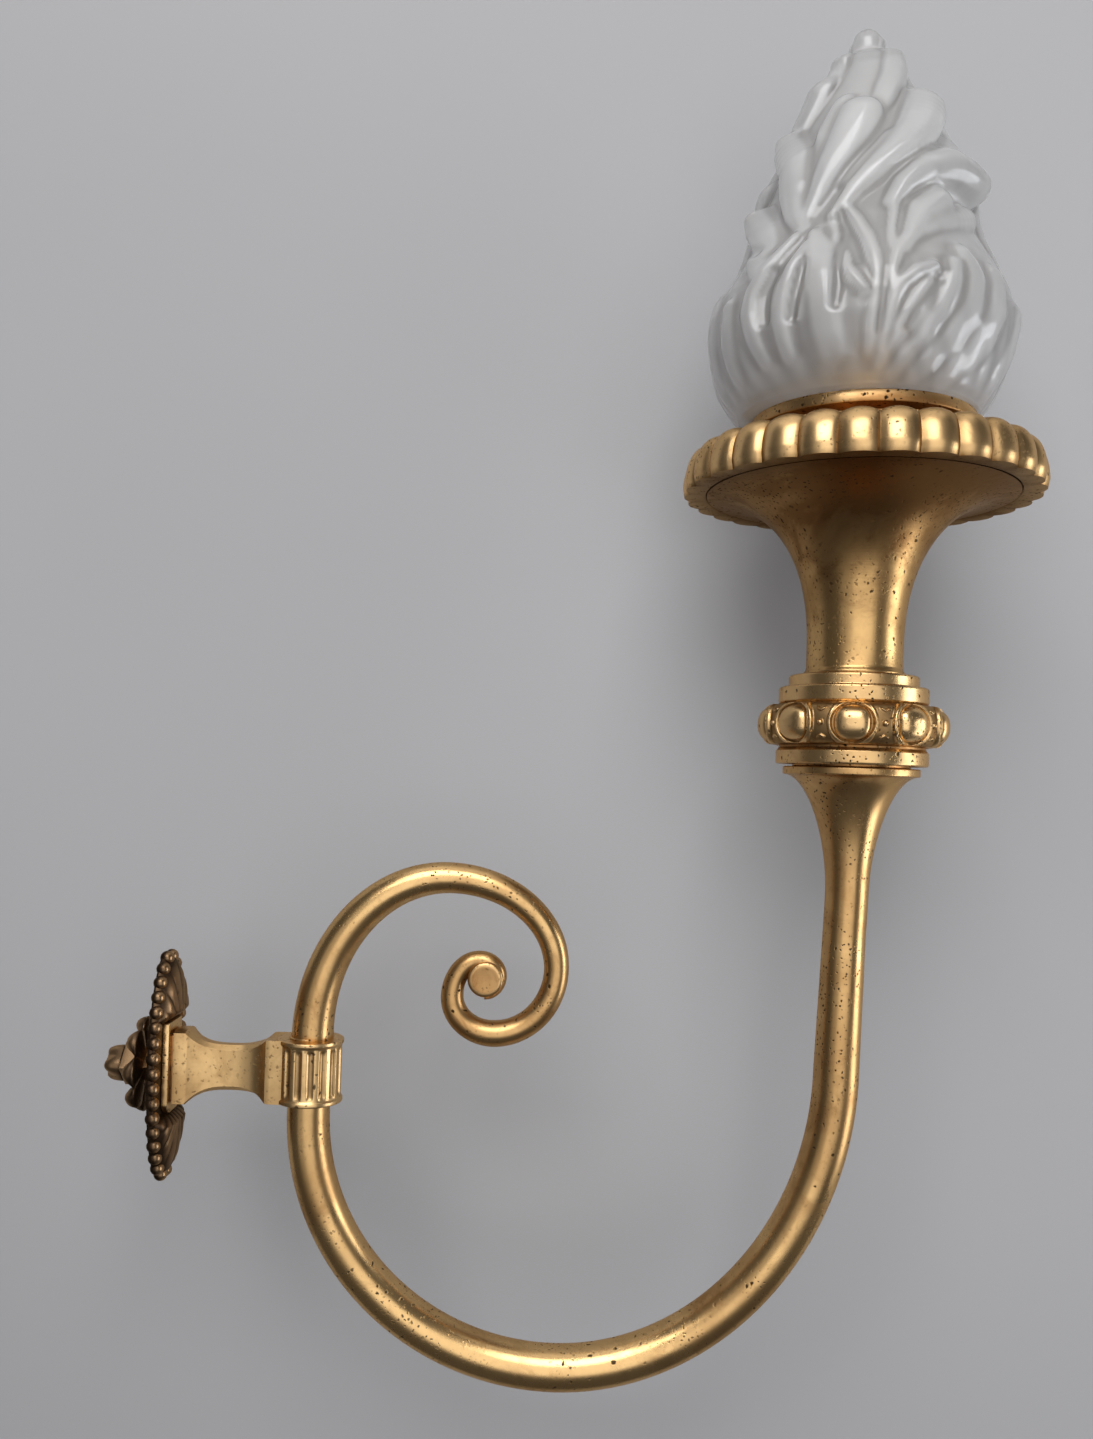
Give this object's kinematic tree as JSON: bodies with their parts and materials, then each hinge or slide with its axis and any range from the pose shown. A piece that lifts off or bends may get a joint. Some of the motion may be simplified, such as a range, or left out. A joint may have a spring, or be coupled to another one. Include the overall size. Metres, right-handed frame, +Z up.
{
  "type": "torch sconce",
  "caption": "Wall light: oval wall plate, waisted bracket and a scrolled brass arm sweeping up to a torch head with a gadrooned cup and a flame-shaped glass shade.",
  "frame": {"origin": "centre of the oval wall plate's back face, in the plane of the wall", "axes": "+X out from the wall along the bracket, +Z up along the torch, +Y to the side"},
  "size_m": [0.482, 0.1866, 0.7251],
  "materials": {
    "polished_brass": "polished, aged, with dark pits",
    "dark_brass": "cast, darkened, with bright high spots",
    "steel": "plain, zinc plated",
    "flame_glass": "frosted, moulded",
    "bulb_glass": "satin inside",
    "ceramic": "glazed ceramic",
    "black_insulator": "black glass"
  },
  "bodies": {
    "fixed": {"back_plate": "dark_brass", "seat_pad": "polished_brass", "plate_screws": "steel", "bracket": "polished_brass", "fluted_collar": "polished_brass", "collar_grub_screw": "steel", "wall_tie": "polished_brass", "arm": "polished_brass", "scroll_button": "polished_brass", "knop_band": "polished_brass", "egg_ring": "polished_brass", "stepped_ring": "polished_brass", "trumpet_cup": "polished_brass", "gadrooned_rim": "polished_brass", "cover_plate": "polished_brass", "shade_gallery": "polished_brass", "threaded_tube": "steel", "gallery_nut": "steel", "lampholder_cap": "polished_brass", "lampholder_skirt": "polished_brass", "contact_block": "ceramic", "screw_shell": "polished_brass", "centre_contact": "polished_brass", "shell_screws": "steel"},
    "shade": {"flame_shade": "flame_glass"},
    "bulb": {"bulb_cap": "steel", "bulb_insulator": "black_insulator", "bulb_glass": "bulb_glass"},
    "rosette": {"leaf_rosette": "dark_brass"},
    "nut": {"square_nut": "dark_brass", "leaf_bud": "dark_brass"}
  },
  "joints": [
    {"name": "shade_lift", "type": "slide", "parent": "fixed", "child": "shade", "axis": [0, 0, 1], "range_m": [0, 0.13]},
    {"name": "bulb_turn", "type": "hinge", "parent": "fixed", "child": "bulb", "pos_m": [0.3602, 0, 0.3855], "axis": [0, 0, 1], "continuous": true},
    {"name": "rosette_slide", "type": "slide", "parent": "fixed", "child": "rosette", "axis": [-1, 0, 0], "range_m": [0, 0.008]},
    {"name": "nut_turn", "type": "hinge", "parent": "rosette", "child": "nut", "pos_m": [-0.0115, 0, 0], "axis": [-1, 0, 0], "range_deg": [0, 2304]}
  ],
  "couplings": [
    {"joint": "nut_turn", "follows": "rosette_slide", "rad_per_m": 5026.5}
  ]
}
